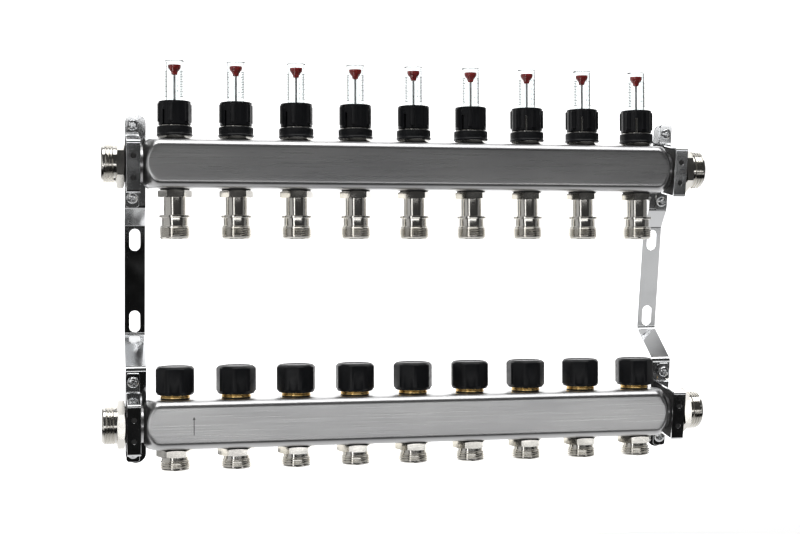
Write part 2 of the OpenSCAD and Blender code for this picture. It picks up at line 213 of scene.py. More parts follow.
def plate(outer, holes, t, edge=0.25):
    """A flat plate in (x, y) of thickness t about z = 0, with bevelled edges and holes."""
    points, faces = [], []
    for side in (1, -1):
        loops = [outer(-edge)] + [h(edge) for h in holes]
        base = len(points)
        points += [(x, y, side * t / 2) for loop in loops for x, y in loop]
        flat = [[Vector((x, y, 0)) for x, y in loop] for loop in loops]
        faces += [[base + i for i in tri] for tri in tessellate_polygon(flat)]
    for k, loop in enumerate([outer] + holes):
        inset = -edge if k == 0 else edge
        levels = [(inset, t / 2), (0, t / 2 - edge), (0, edge - t / 2), (inset, -t / 2)]
        rings = [[(x, y, z) for x, y in loop(grow)] for grow, z in levels]
        p, f = shell(rings, closed=False)
        base = len(points)
        points += p
        faces += [[base + i for i in face] for face in f]
    return points, faces


class BentLine:
    """A line in (Y, Z) through corners with round bends, measured along its length."""

    def __init__(self, corners, radius):
        self.radius = radius
        self.runs = []  # start of the run, its length, first point, direction, turn
        p = [Vector(c) for c in corners]
        start, s = p[0], 0.0
        for a, b, c in zip(p, p[1:], p[2:]):
            d, e = (b - a).normalized(), (c - b).normalized()
            turn = atan2(d.x * e.y - d.y * e.x, d.dot(e))
            setback = radius * tan(abs(turn) / 2)
            end = b - d * setback
            self.runs.append((s, (end - start).length, start, d, 0.0))
            s += (end - start).length
            self.runs.append((s, radius * abs(turn), end, d, turn))
            s += radius * abs(turn)
            start = b + e * setback
        self.runs.append((s, (p[-1] - start).length, start, (p[-1] - start).normalized(), 0.0))
        self.length = s + (p[-1] - start).length

    def at(self, s, off):
        """The point at length s, moved sideways by off."""
        run = [r for r in self.runs if r[0] <= s + 1e-9] or self.runs[:1]
        s0, length, start, d, turn = run[-1]
        left = Vector((-d.y, d.x))
        if not turn:
            return start + d * (s - s0) + left * off
        sign = 1 if turn > 0 else -1
        centre = start + left * sign * self.radius
        normal = Matrix.Rotation(turn * (s - s0) / length, 2) @ left
        return centre - normal * (sign * self.radius - off)

    def along(self, z):
        """The length at which an upright run passes the height z."""
        for s0, length, start, d, turn in self.runs:
            if not turn and abs(d.y) > 0.99 and 0 <= (z - start.y) / d.y <= length:
                return s0 + (z - start.y) / d.y
        raise ValueError(f"no upright run at {z}")

    def rows(self, steps=9, margin=0.4):
        """Lengths at which a plate is cut so that it bends smoothly."""
        for s0, length, _, _, turn in self.runs:
            if turn:
                yield s0 - margin
                yield s0 + length + margin
                for k in range(steps + 1):
                    yield s0 + length * k / steps


def bent(flat, line):
    """A plate drawn in (X, length, thickness), cut into rows and bent along a line."""
    bm = bmesh.new()
    verts = [bm.verts.new(p) for p in flat[0]]
    for f in flat[1]:
        bm.faces.new([verts[i] for i in f])
    bmesh.ops.remove_doubles(bm, verts=bm.verts, dist=1e-4)
    for s in line.rows():
        everything = bm.verts[:] + bm.edges[:] + bm.faces[:]
        bmesh.ops.bisect_plane(bm, geom=everything, plane_co=(0, s, 0), plane_no=(0, 1, 0))
    bm.verts.index_update()
    points = []
    for v in bm.verts:
        q = line.at(v.co.y, v.co.z)
        points.append((v.co.x, q.x, q.y))
    faces = [[v.index for v in f.verts] for f in bm.faces]
    bm.free()
    return points, faces


def cut_by(part, cutter):
    """The part less the cutter, both closed, as (points, faces)."""
    objects = []
    for points, faces in (part, cutter):
        mesh = bpy.data.meshes.new("scratch")
        mesh.from_pydata([tuple(p) for p in points], [], faces)
        bm = bmesh.new()
        bm.from_mesh(mesh)
        bmesh.ops.remove_doubles(bm, verts=bm.verts, dist=1e-4)
        bmesh.ops.recalc_face_normals(bm, faces=bm.faces)
        bm.to_mesh(mesh)
        bm.free()
        objects.append(bpy.data.objects.new("scratch", mesh))
        bpy.context.scene.collection.objects.link(objects[-1])
    body, tool = objects
    boolean = body.modifiers.new("cut", "BOOLEAN")
    boolean.object = tool
    boolean.operation = "DIFFERENCE"
    boolean.solver = "EXACT"
    result = body.evaluated_get(bpy.context.evaluated_depsgraph_get()).to_mesh()
    points = [tuple(v.co) for v in result.vertices]
    faces = [list(p.vertices) for p in result.polygons]
    for o in objects:
        mesh = o.data
        bpy.data.objects.remove(o)
        bpy.data.meshes.remove(mesh)
    return points, faces


def piece(name, part, material, body, slot, *nodes, crease=26):
    """One visible object: smooth faces, creased where they meet at a steep angle."""
    points, faces = part
    bm = bmesh.new()
    verts = [bm.verts.new(p) for p in points]
    bm.verts.ensure_lookup_table()
    for f in faces:
        if len(set(f)) > 2:
            bm.faces.new([verts[i] for i in f])
    bmesh.ops.remove_doubles(bm, verts=bm.verts, dist=2e-6)
    bmesh.ops.dissolve_degenerate(bm, edges=bm.edges, dist=1e-7)
    bmesh.ops.recalc_face_normals(bm, faces=bm.faces)
    for f in bm.faces:
        f.smooth = True
    for e in bm.edges:
        e.smooth = len(e.link_faces) == 2 and e.calc_face_angle(0) < radians(crease)
    mesh = bpy.data.meshes.new(name)
    bm.to_mesh(mesh)
    bm.free()
    obj = bpy.data.objects.new(name, mesh)
    bpy.context.scene.collection.objects.link(obj)
    mesh.materials.append(material)
    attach(obj, body)
    if nodes:
        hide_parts(*nodes)
    return obj


# ---------------------------------------------------------------- materials


def new_material(name, color, metallic, roughness, **sockets):
    mat = bpy.data.materials.new(name)
    mat.use_nodes = True
    shader = mat.node_tree.nodes["Principled BSDF"]
    shader.inputs["Base Color"].default_value = (*color, 1)
    shader.inputs["Metallic"].default_value = metallic
    shader.inputs["Roughness"].default_value = roughness
    for socket, value in sockets.items():
        shader.inputs[socket.replace("_", " ")].default_value = value
    return mat


def grain(mat, scale, stretch=(1, 1, 1), detail=6.0, seed=0.0):
    """A noise pattern fixed to the piece, in cycles a metre, as a socket from 0 to 1."""
    tree = mat.node_tree
    coords = tree.nodes.new("ShaderNodeTexCoord")
    mapping = tree.nodes.new("ShaderNodeMapping")
    mapping.inputs["Scale"].default_value = stretch
    mapping.inputs["Location"].default_value = (seed, seed, seed)
    noise = tree.nodes.new("ShaderNodeTexNoise")
    noise.inputs["Scale"].default_value = scale
    noise.inputs["Detail"].default_value = detail
    tree.links.new(coords.outputs["Object"], mapping.inputs["Vector"])
    tree.links.new(mapping.outputs["Vector"], noise.inputs["Vector"])
    return noise.outputs["Fac"]


def ranged(mat, source, low, high, tight=(0.3, 0.7)):
    node = mat.node_tree.nodes.new("ShaderNodeMapRange")
    node.inputs["From Min"].default_value, node.inputs["From Max"].default_value = tight
    node.inputs["To Min"].default_value = low
    node.inputs["To Max"].default_value = high
    mat.node_tree.links.new(source, node.inputs["Value"])
    return node.outputs["Result"]


def math_node(mat, operation, first, second=0.0):
    node = mat.node_tree.nodes.new("ShaderNodeMath")
    node.operation = operation
    for socket, value in zip(node.inputs, (first, second)):
        if isinstance(value, float):
            socket.default_value = value
        else:
            mat.node_tree.links.new(value, socket)
    return node.outputs["Value"]


def vary_roughness(mat, source, low, high):
    shader = mat.node_tree.nodes["Principled BSDF"]
    mat.node_tree.links.new(ranged(mat, source, low, high), shader.inputs["Roughness"])


def vary_color(mat, source, dark, light):
    ramp = mat.node_tree.nodes.new("ShaderNodeValToRGB")
    ramp.color_ramp.elements[0].color = (*dark, 1)
    ramp.color_ramp.elements[1].color = (*light, 1)
    ramp.color_ramp.elements[0].position = 0.3
    ramp.color_ramp.elements[1].position = 0.7
    mat.node_tree.links.new(source, ramp.inputs["Fac"])
    mat.node_tree.links.new(ramp.outputs["Color"],
                            mat.node_tree.nodes["Principled BSDF"].inputs["Base Color"])


def add_bump(mat, source, strength, distance=0.0002):
    tree = mat.node_tree
    bump = tree.nodes.new("ShaderNodeBump")
    bump.inputs["Strength"].default_value = strength
    bump.inputs["Distance"].default_value = distance
    tree.links.new(source, bump.inputs["Height"])
    tree.links.new(bump.outputs["Normal"], tree.nodes["Principled BSDF"].inputs["Normal"])


def plated_steel():
    """Bright plating: mirror-like, with faint smears and a trace of orange peel."""
    mat = new_material("plated_strap", (0.86, 0.87, 0.88), 1.0, 0.07)
    vary_roughness(mat, grain(mat, 45, detail=8), 0.04, 0.13)
    add_bump(mat, grain(mat, 160, seed=3), 0.05)
    return mat


def brushed_steel(name="brushed_bar"):
    """Stainless tube, brushed along its length, with a few cloudy patches."""
    mat = new_material(name, (0.60, 0.60, 0.60), 1.0, 0.3)
    lines = grain(mat, 1, stretch=(14, 2600, 2600), detail=4)
    vary_roughness(mat, lines, 0.26, 0.34)
    vary_color(mat, grain(mat, 22, stretch=(0.4, 1, 1), seed=5), (0.53, 0.53, 0.54), (0.66, 0.66, 0.66))
    add_bump(mat, lines, 0.03, 0.0001)
    return mat


def nickel():
    """Nickel on turned brass: bright and slightly warm, with soft stains."""
    mat = new_material("nickel", (0.78, 0.76, 0.71), 1.0, 0.12)
    vary_roughness(mat, grain(mat, 90, detail=8), 0.08, 0.2)
    vary_color(mat, grain(mat, 35, seed=2), (0.70, 0.68, 0.63), (0.82, 0.80, 0.76))
    add_bump(mat, grain(mat, 500, seed=9), 0.05)
    return mat


def zinc():
    mat = new_material("zinc_screw", (0.78, 0.79, 0.80), 1.0, 0.22)
    vary_roughness(mat, grain(mat, 260), 0.14, 0.3)
    add_bump(mat, grain(mat, 900, seed=1), 0.12)
    return mat


def brass():
    """Bare turned brass, with the fine marks of the lathe."""
    mat = new_material("brass", (0.83, 0.58, 0.22), 1.0, 0.25)
    vary_color(mat, grain(mat, 120, seed=4), (0.72, 0.47, 0.15), (0.90, 0.66, 0.30))
    lines = grain(mat, 1, stretch=(60, 60, 2400), detail=2)
    vary_roughness(mat, lines, 0.18, 0.32)
    add_bump(mat, lines, 0.12)
    return mat


def black_plastic():
    """Moulded glass-filled plastic: satin, with a fine grain and faint scuffs."""
    mat = new_material("black_plastic", (0.007, 0.0075, 0.009), 0.0, 0.4, Specular_IOR_Level=0.28)
    vary_color(mat, grain(mat, 60, seed=7), (0.005, 0.0055, 0.007), (0.010, 0.0105, 0.0125))
    vary_roughness(mat, grain(mat, 240, detail=8), 0.28, 0.42)
    add_bump(mat, grain(mat, 2600, seed=6), 0.12)
    return mat


def red_plastic():
    mat = new_material("red_plastic", (0.55, 0.03, 0.03), 0.0, 0.35)
    vary_color(mat, grain(mat, 200, seed=8), (0.48, 0.02, 0.02), (0.62, 0.05, 0.04))
    vary_roughness(mat, grain(mat, 400), 0.28, 0.42)
    return mat


def clear_plastic():
    """Clear polycarbonate with a faint haze."""
    mat = new_material("clear_plastic", (0.95, 0.98, 0.98), 0.0, 0.03,
                       Transmission_Weight=1.0, IOR=1.45)
    vary_roughness(mat, grain(mat, 150, detail=6), 0.01, 0.07)
    return mat


def rubber():
    mat = new_material("rubber", (0.03, 0.03, 0.03), 0.0, 0.7)
    vary_color(mat, grain(mat, 180, seed=2), (0.022, 0.022, 0.022), (0.045, 0.044, 0.043))
    vary_roughness(mat, grain(mat, 500), 0.55, 0.8)
    add_bump(mat, grain(mat, 1800, seed=5), 0.2)
    return mat


def spring_wire():
    mat = new_material("spring_steel", (0.80, 0.80, 0.80), 1.0, 0.4)
    vary_roughness(mat, grain(mat, 700), 0.35, 0.5)
    return mat


def etched_steel():
    """Steel darkened by etching, dull and slightly uneven."""
    mat = new_material("etched_steel", (0.07, 0.07, 0.075), 0.6, 0.6)
    vary_color(mat, grain(mat, 700, seed=6), (0.05, 0.05, 0.055), (0.10, 0.10, 0.105))
    return mat


# dark ink for the scale's numbers and ticks; on the ticks it is partly painted shade for the glass's dark
# edges
def scale_ink():
    mat = new_material("scale_ink", (0.03, 0.03, 0.035), 0.0, 0.5)
    vary_color(mat, grain(mat, 900, seed=3), (0.02, 0.02, 0.025), (0.05, 0.05, 0.055))
    return mat


PLATED, BRUSHED, NICKEL, ZINC, BRASS = plated_steel(), brushed_steel(), nickel(), zinc(), brass()
BLACK, RED, CLEAR, RUBBER = black_plastic(), red_plastic(), clear_plastic(), rubber()
WIRE, INK_AND_EDGE_SHADE, ETCHED = spring_wire(), scale_ink(), etched_steel()

# ---------------------------------------------------------------- wall straps and clamps


def strap(side):
    """A bent wall strap with two slots and four screw holes."""
    flow, back = FLOW_AXIS / MM, RETURN_AXIS / MM
    tab, low_tab = flow.y + CLAMP_BACK + STRAP_T / 2, back.y + CLAMP_BACK + STRAP_T / 2
    slots = next(m for m in record["mounts"] if m["name"] == "wall_slots_left")["dims"]
    slot_z = slots["spacing_y_mm"] / 2
    line = BentLine([
        (tab, flow.z + STRAP_END), (tab, flow.z - CLAMP_REACH),
        (-STRAP_T / 2, flow.z - CLAMP_REACH - 17), (-STRAP_T / 2, -slot_z - 12),
        (low_tab, back.z + CLAMP_REACH + 3), (low_tab, back.z - STRAP_END)], 4.0)
    blank = outline_of(0, line.length / 2, STRAP_W, line.length, STRAP_W / 2 - 0.01)
    holes = [outline_of(0, line.along(z), 2 * slots["hole_r_mm"], slots["slot_length_mm"],
                        slots["hole_r_mm"] - 0.005) for z in (slot_z, -slot_z)]
    for z in (flow.z, back.z):
        for reach in (SCREW_REACH, -SCREW_REACH):
            place = side * (CLAMP_X - STRAP_X), line.along(z + reach)
            holes.append(outline_of(*place, SCREW_HOLE, SCREW_HOLE, SCREW_HOLE / 2))
    part = bent(plate(blank, holes, STRAP_T), line)
    return placed(part, Matrix.Translation((side * STRAP_X * MM, 0, 0)) @ to_mm)


def clamp_places(axis):
    return [Matrix.Translation((s * CLAMP_X * MM, axis.y, axis.z)) @ to_mm for s in (-1, 1)]


def clamp():
    """A hat-shaped strip with round tab ends, pressed from thin plate."""
    tab = CLAMP_BACK - CLAMP_T / 2
    face = -CLAMP_FACE - CLAMP_T / 2
    leg = BAR_HALF + CLAMP_T / 2
    line = BentLine([(tab, CLAMP_REACH), (tab, leg), (face, leg), (face, -leg),
                     (tab, -leg), (tab, -CLAMP_REACH)], CLAMP_T)
    blank = outline_of(0, line.length / 2, CLAMP_W, line.length, 2.5)
    holes = []
    for d, reach in ((SCREW_HOLE, SCREW_REACH), (PEG_HOLE, PEG_Z)):
        holes += [outline_of(0, line.along(z), d, d, d / 2) for z in (reach, -reach)]
    return bent(plate(blank, holes, CLAMP_T, edge=0.2), line)


def clamp_liner():
    """A rubber block bored for the neck, with two domed pegs."""
    deep, tall = CLAMP_FACE + CLAMP_BACK, 2 * (BAR_HALF - CLAMP_T / 2)
    outer = outline_of((CLAMP_BACK - CLAMP_FACE) / 2, 0, deep, tall, 0.8)
    bore = outline_of(0, 0, 2 * NECK_R + 0.1, 2 * NECK_R + 0.1, NECK_R + 0.05, steps=18)
    along_x = Matrix(((0, 0, 1, 0), (1, 0, 0, 0), (0, 1, 0, 0), (0, 0, 0, 1)))
    block = placed(plate(outer, [bore], CLAMP_W, edge=0.4), along_x)
    proud = CLAMP_FACE + CLAMP_T + 0.4
    peg_r, foot = PEG_HOLE / 2 - 0.05, CLAMP_FACE - 1
    peg = lathe([(0, foot), (peg_r, foot), (peg_r, proud - 0.4), (0.9, proud), (0, proud)],
                radius=0.3, steps=32)
    forward = Matrix.Rotation(pi / 2, 4, "X")
    pegs = [placed(peg, Matrix.Translation((0, 0, z)) @ forward) for z in (PEG_Z, -PEG_Z)]
    return joined(block, *pegs)


def screw():
    """A pan-head screw along +Y with a cross recess; its head starts at the clamp's tab."""
    seat, tip = CLAMP_BACK - CLAMP_T, CLAMP_BACK + STRAP_T + 5
    core, head = 2.1, 4.7
    body = lathe([(0, seat - 2.4), (2.4, seat - 2.3), (4.0, seat - 1.7), (head, seat - 0.7), (head, seat),
                  (core, seat), (core, tip - 0.6), (1.6, tip), (0, tip)], radius=0.35, steps=48)
    arm = plate(outline_of(0, 0, 5.4, 1.2, 0.1, steps=2), [], 3.6, edge=0.05)
    for turn in (0.4, 0.4 + pi / 2):
        at_head = Matrix.Translation((0, 0, seat - 2.6)) @ Matrix.Rotation(turn, 4, "Z")
        body = cut_by(body, placed(arm, at_head))
    ridge = thread_ridge(core, 2.45, 0.8, seat + 0.3, tip - 0.3, per_turn=24)
    return placed(joined(body, ridge), Matrix.Rotation(-pi / 2, 4, "X"))


def nut():
    back = CLAMP_BACK + STRAP_T
    return placed(nut_prism(6, 8.0, back, back + 4, 2.5), Matrix.Rotation(-pi / 2, 4, "X"))


def screw_places():
    out = []
    for axis in (FLOW_AXIS, RETURN_AXIS):
        for m in clamp_places(axis):
            out += [m @ Matrix.Translation((0, 0, z)) for z in (SCREW_REACH, -SCREW_REACH)]
    return out


def build_wall_frame():
    for side, name in ((-1, "left"), (1, "right")):
        piece(f"strap_{name}", strap(side), PLATED, "wall_frame", "plated_strap", f"bracket_{name}")
    for axis, name in ((FLOW_AXIS, "flow"), (RETURN_AXIS, "return")):
        piece(f"clamps_{name}", placed(clamp(), *clamp_places(axis)), PLATED, "wall_frame",
              "plated_strap", f"{name}_clamps")
    liners = placed(clamp_liner(), *clamp_places(FLOW_AXIS), *clamp_places(RETURN_AXIS))
    piece("liners", liners, RUBBER, "wall_frame", "rubber", "clamp_liners")
    piece("screws", placed(screw(), *screw_places()), ZINC, "wall_frame", "zinc_screw", "clamp_screws")
    piece("nuts", placed(nut(), *screw_places()), ZINC, "wall_frame", "zinc_screw", "clamp_nuts")


# ---------------------------------------------------------------- bars


def bar_section():
    """Points round the square bar, in (y, z), with close rows beside each corner."""
    flat = BAR_HALF - BAR_CORNER
    out = []
    for quarter in range(4):
        turn = Matrix.Rotation(quarter * pi / 2, 2)
        for z in (-flat, -flat + 0.3, -11.5, -8.5, -6, -3, 0, 3, 6, 8.5, 11.5, flat - 0.3):
            out.append(turn @ Vector((BAR_HALF, z)))
        for k in range(10):
            a = pi / 2 * k / 10
            out.append(turn @ Vector((flat + BAR_CORNER * cos(a), flat + BAR_CORNER * sin(a))))
    return out


def shoulder_radius(x):
    """Radius of the drawn end, which falls from the long edges down to the neck."""
    rise = min(1.0, max(0.0, 1 - (BAR_END - x) / SHOULDER_LEN))
    return NECK_R + SHOULDER_R * (1 - rise ** 2.2) ** 0.909


def bar():
    """Square tube whose ends are drawn down to round necks, bored for every loop."""
    section = bar_section()
    start = BAR_END - SHOULDER_LEN
    softness = 50  # a higher power gives a sharper line between flat and shoulder

    def station(x, inset=0.0, least=0.0):
        points = []
        for p in section:
            drawn = (p.length ** -softness + shoulder_radius(x) ** -softness) ** (-1 / softness)
            points.append((x, *(p.normalized() * max(least, drawn - inset))))
        return points

    plain_run = [0, 25, 75, 125, 175, start - 1]
    drawn_run = [start + SHOULDER_LEN * sin(pi / 2 * k / 24) for k in range(25)]
    outer = [station(x) for x in plain_run + drawn_run + [NECK_END - 0.3]] + [station(NECK_END, 0.3)]
    inner = [station(x, BAR_WALL, NECK_BORE) for x in reversed(plain_run + drawn_run[::3])]
    right = outer + [station(NECK_END, 9, NECK_BORE), station(BAR_END + 1, 9, NECK_BORE)] + inner
    mirrored = [[(-x, y, z) for x, y, z in r] for r in reversed(right)]
    body = shell(right + mirrored[1:-1])
    return cut_by(body, joined(*(tube_hole(x) for x in PORT_X)))


def tube_hole(x):
    reach = BAR_HALF + 2
    corners = [(0, -reach), (PORT_R, -reach), (PORT_R, reach), (0, reach)]
    rod = shell([ring(r, z, 48) for r, z in corners])
    return placed(rod, Matrix.Translation((x, 0, 0)))


def end_adapter():
    """Hexagon, spigot and G1 thread, drawn along +Z from the bar's middle."""
    hex_start = NECK_END + 1
    hex_end = hex_start + 6.5
    tip = hex_end + 12
    bore, spigot, root = NECK_BORE - 2, NECK_BORE - 0.05, END_THREAD_R - 1.1
    body = lathe([(bore, BAR_END), (spigot, BAR_END), (spigot, hex_end - 1), (root, hex_end - 1),
                  (root, tip - 1.2), (root - 1.1, tip), (bore, tip)], radius=0.25, steps=96)
    hexagon = nut_prism(6, END_HEX, hex_start, hex_end, NECK_BORE - 0.6, slope=0.28)
    ridge = thread_ridge(root - 0.05, END_THREAD_R, END_PITCH, hex_end + 0.4, tip - 0.6, per_turn=64)
    return joined(body, hexagon, ridge)


def adapters(bar_frame):
    ends = [bar_frame @ Matrix.Rotation(s * pi / 2, 4, "Y") for s in (-1, 1)]
    return placed(end_adapter(), *ends)


def at_loops(part, bar_frame):
    return placed(part, *(bar_frame @ Matrix.Translation((x, 0, 0)) for x in PORT_X))


def flow_outlet():
    """Long outlet drawn along +Z: hexagon, tube, flange, neck and thread."""
    root = LOOP_THREAD_ROOT
    body = lathe([(7.5, 14), (10, 14), (10, 22), (9.25, 22), (9.25, 41.5), (13, 41.5), (13, 43.5),
                  (11, 43.5), (11, 50.2), (root, 50.2), (root, 60), (root - 1, 61), (8.6, 61),
                  (7.5, 59.6)], radius=0.35)
    hexagon = nut_prism(6, 24, 21, 27, 8.5, slope=0.3)
    ridge = thread_ridge(root, LOOP_THREAD_R, LOOP_PITCH, 50.5, 60.6)
    return placed(joined(body, hexagon, ridge), Matrix.Rotation(pi, 4, "X"))


def return_outlet():
    """Short outlet drawn along +Z, with the valve seat at its inner end."""
    root = LOOP_THREAD_ROOT
    body = lathe([(6.5, 12.1), (10, 12.1), (10, 22), (11.2, 22), (11.2, 29.7), (root, 29.7), (root, 37),
                  (root - 1, 38), (7.8, 38), (6.5, 36.5)], radius=0.35)
    hexagon = nut_prism(6, 27, 21, 27, 9, slope=0.3)
    ridge = thread_ridge(root, LOOP_THREAD_R, LOOP_PITCH, 30, 37.8)
    return placed(joined(body, hexagon, ridge), Matrix.Rotation(pi, 4, "X"))


def arrow_mark():
    """A thin upright arrow on the return bar's front, near its left end."""
    x0, foot, neck, tip, shaft, head = -186, -8, 4.5, 7, 0.3, 1.2
    proud, sunk = 0.02, 0.2
    outline = [(-shaft, foot), (shaft, foot), (shaft, neck), (head, neck), (0, tip), (-head, neck),
               (-shaft, neck)]
    rows = [[(x0 + x, -BAR_HALF + off, z) for x, z in outline] for off in (-proud, sunk)]
    points, faces = shell(rows, closed=False)
    n = len(outline)
    caps = [[0, 1, 2, 6], [3, 4, 5, 6, 2]]
    return placed((points, faces + caps + [[n + i for i in reversed(f)] for f in caps]), return_frame)


def build_bars():
    rows = ("flow", flow_frame, flow_outlet), ("return", return_frame, return_outlet)
    for name, where, outlet in rows:
        body = f"{name}_bar"
        piece(f"{name}_tube", placed(bar(), where), BRUSHED, body, "brushed_bar", body)
        piece(f"{name}_adapters", adapters(where), NICKEL, body, "nickel", f"{name}_end_adapters")
        piece(f"{name}_connectors", at_loops(outlet(), where), NICKEL, body, "nickel", f"{name}_outlets")
    piece("flow_arrow", arrow_mark(), ETCHED, "return_bar", "brushed_bar")


# ---------------------------------------------------------------- flow meters


def meter_body():
    """Plated body from the seat inside the bar up to the tube that carries the knob."""
    body = lathe([(1.4, 8), (10, 8), (10, 21.5), (9.5, 21.5), (9.5, 31), (12.4, 31), (12.4, 31.6),
                  (9.5, 31.6), (9.5, 46), (7.85, 46), (7.85, 44), (5.5, 44), (5.5, 12), (1.4, 12)],
                 radius=0.25)
    return joined(body, nut_prism(6, 24, 21, 23.4, 8.5, slope=0.45))


def meter_collar():
    """Locking collar with a flared foot and a fine grip round it."""
    radius, grooves, groove_depth, bore = 14.3, 60, 0.22, 9.55

    def grip(a):
        return radius - groove_depth * (0.5 + 0.5 * cos(grooves * a))

    outline = [(bore, 23), (14.2, 23), (14.65, 23.3), (14.65, 24.4), (radius, 24.9), (radius, 25.4),
               (grip, 25.7), (grip, 29.7), (radius, 30.0), (radius, 30.5), (13.9, 30.9), (bore, 30.9)]
    return shell([ring(r, z, 4 * grooves) for r, z in outline])


def knob():
    """Adjusting knob: shallow flutes, six raised ribs and one slit up from its foot."""
    slit_at, slit_half, slit_top = 1.5 * pi, 1.0 / KNOB_R, 44.4
    wide_bore, narrow_bore, bore_step = 9.6, GLASS_R + 0.25, 46.4
    rib_count, rib_half, rib_height, flute_count, flute_depth = 6, 2.0, 1.0, 18, 0.28
    count = 180
    angles = sorted([2 * pi * k / count for k in range(count)] + [slit_at - slit_half, slit_at + slit_half])
    # height and inset of each row; the row at the bore's step is there twice
    heights = [(KNOB_BASE, 0.5), (KNOB_BASE + 0.5, 0.0), (34.1, 0.0), (34.5, 0.0), (39, 0.0),
               (slit_top, 0.0), (bore_step, 0.0), (bore_step, 0.0), (49.3, 0.0), (49.7, 0.0),
               (50.6, 0.0), (51.0, 0.1), (51.25, 0.3), (KNOB_TOP, 0.6)]

    def outside(a, row):
        z, inset = heights[row]
        sector = 2 * pi / rib_count
        off_rib = abs((a / sector + 0.5) % 1 - 0.5) * sector * KNOB_R
        raised = max(0.0, min(rib_height, (rib_half - off_rib) / 0.5)) if 3 <= row <= 8 else 0.0
        fluted = 2 <= row <= 9 and not raised
        flute = flute_depth * (0.5 + 0.5 * cos(flute_count * a)) if fluted else 0.0
        return KNOB_R - inset + raised - flute, z

    def inside(row):
        return wide_bore if row <= 6 else narrow_bore

    def present(col, row):
        mid = (angles[col] + (angles[(col + 1) % len(angles)] or 2 * pi)) / 2
        in_slit = abs(mid - slit_at) < slit_half
        return 0 <= row < len(heights) - 1 and not (in_slit and heights[row + 1][0] <= slit_top + 1e-6)

    points, faces = [], []
    for a in angles:
        for row in range(len(heights)):
            r, z = outside(a, row)
            points.append((r * cos(a), r * sin(a), z))
            points.append((inside(row) * cos(a), inside(row) * sin(a), z))

    def quad(*corners):
        column = 2 * len(heights)
        faces.append([c % len(angles) * column + 2 * r + inner for c, r, inner in corners])

    for col in range(len(angles)):
        for row in range(len(heights) - 1):
            if not present(col, row):
                continue
            right, up = col + 1, row + 1
            same = heights[row][0] == heights[up][0]
            if not same:
                quad((col, row, 0), (right, row, 0), (right, up, 0), (col, up, 0))
            quad((col, row, 1), (col, up, 1), (right, up, 1), (right, row, 1))
            if not present(col, row - 1):
                quad((col, row, 0), (col, row, 1), (right, row, 1), (right, row, 0))
            if not present(col, up):
                quad((col, up, 0), (right, up, 0), (right, up, 1), (col, up, 1))
            if same:
                continue
            if not present((col - 1) % len(angles), row):
                quad((col, row, 0), (col, up, 0), (col, up, 1), (col, row, 1))
            if not present(right % len(angles), row):
                quad((right, row, 0), (right, row, 1), (right, up, 1), (right, up, 0))
    return points, faces


def knob_turn(i):
    """Where each knob's slit points, as the installer left it."""
    return radians(-20 if i > 6 else -46)


def sight_glass():
    """Clear tube with a flat closed top and a small rounded rim."""
    rim, wall = 0.7, 1.5
    inner, ceiling = GLASS_R - wall, GLASS_TOP - wall
    outline = [(inner, GLASS_BASE), (GLASS_R, GLASS_BASE)]
    for a in (pi / 2 * k / 5 for k in range(6)):
        outline.append((GLASS_R - rim + rim * cos(a), GLASS_TOP - rim + rim * sin(a)))
    outline += [(0, GLASS_TOP), (0, ceiling), (inner, ceiling)]
    return shell([ring(r, z, 64) for r, z in outline])


def scale_marks():
    """Ticks and the numbers 0 to 5 on the front of the sight glass. The ticks stand in two dark columns
    near its left and right edges: partly real scale ticks, partly painted shade for the dark edges of the
    glass.
    """
    parts = []
    zero, step, thick = 75.5, 4.1, 0.6
    r0, r1 = GLASS_R - 0.02, GLASS_R + 0.05
    facing, aside = -pi / 2 - 0.2, 0.95

    def patch(a0, a1, z0, z1):
        cols = [a0 + (a1 - a0) * k / 4 for k in range(5)]
        corners = [(r1, z0), (r1, z1), (r0, z1), (r0, z0)]
        rows = [[(r * cos(a), r * sin(a), z) for a in cols] for r, z in corners]
        points = [p for row in rows for p in row]
        faces = []
        for k in range(4):
            b, c = k * 5, (k + 1) % 4 * 5
            faces += [[b + i, b + i + 1, c + i + 1, c + i] for i in range(4)]
        return points, faces + [[0, 5, 10, 15], [19, 14, 9, 4]]

    # the ticks, dark ink near both edges of the glass: partly real scale ticks, partly painted shade for
    # the glass's dark edges
    for k in range(16):
        z = zero - k * step / 3
        half = 0.26 if k % 3 == 0 else 0.17
        for centre in (facing - aside, facing + aside):
            parts.append(patch(centre - half, centre + half, z - thick / 2, z + thick / 2))
    for number in range(6):
        curve = bpy.data.curves.new("digit", "FONT")
        curve.body = str(number)
        curve.size = 3.3
        curve.align_x = "CENTER"
        curve.align_y = "CENTER"
        curve.resolution_u = 2
        text = bpy.data.objects.new("digit", curve)
        bpy.context.scene.collection.objects.link(text)
        graph = bpy.context.evaluated_depsgraph_get()
        mesh = bpy.data.meshes.new_from_object(text.evaluated_get(graph))
        bpy.data.objects.remove(text)
        bpy.data.curves.remove(curve)
        z = zero - number * step
        flat = [(facing + 0.42 + v.co.x / r1, z + v.co.y) for v in mesh.vertices]
        faces = [list(p.vertices) for p in mesh.polygons]
        parts.append(([(r1 * cos(a), r1 * sin(a), h) for a, h in flat], faces))
        bpy.data.meshes.remove(mesh)
    return joined(*parts)


def float_rod():
    """Thin rod with its spring shoulder and the disc that the flow pulls down."""
    return lathe([(0, 79), (1, 79), (1, 49), (3.5, 49), (3.5, 47), (1, 47), (1, -22), (6.8, -22),
                  (6.8, -24), (0, -24)], radius=0.2, steps=40)


def indicator():
    """Red funnel on top of the rod: a wide rim over a narrow stem."""
    return lathe([(1.02, 73), (2.3, 73), (2.8, 75.4), (4.9, 78), (5.2, 79), (5.2, 81), (4.4, 81),
                  (3.4, 79.8), (1.02, 79.4)], radius=0.2, steps=48)


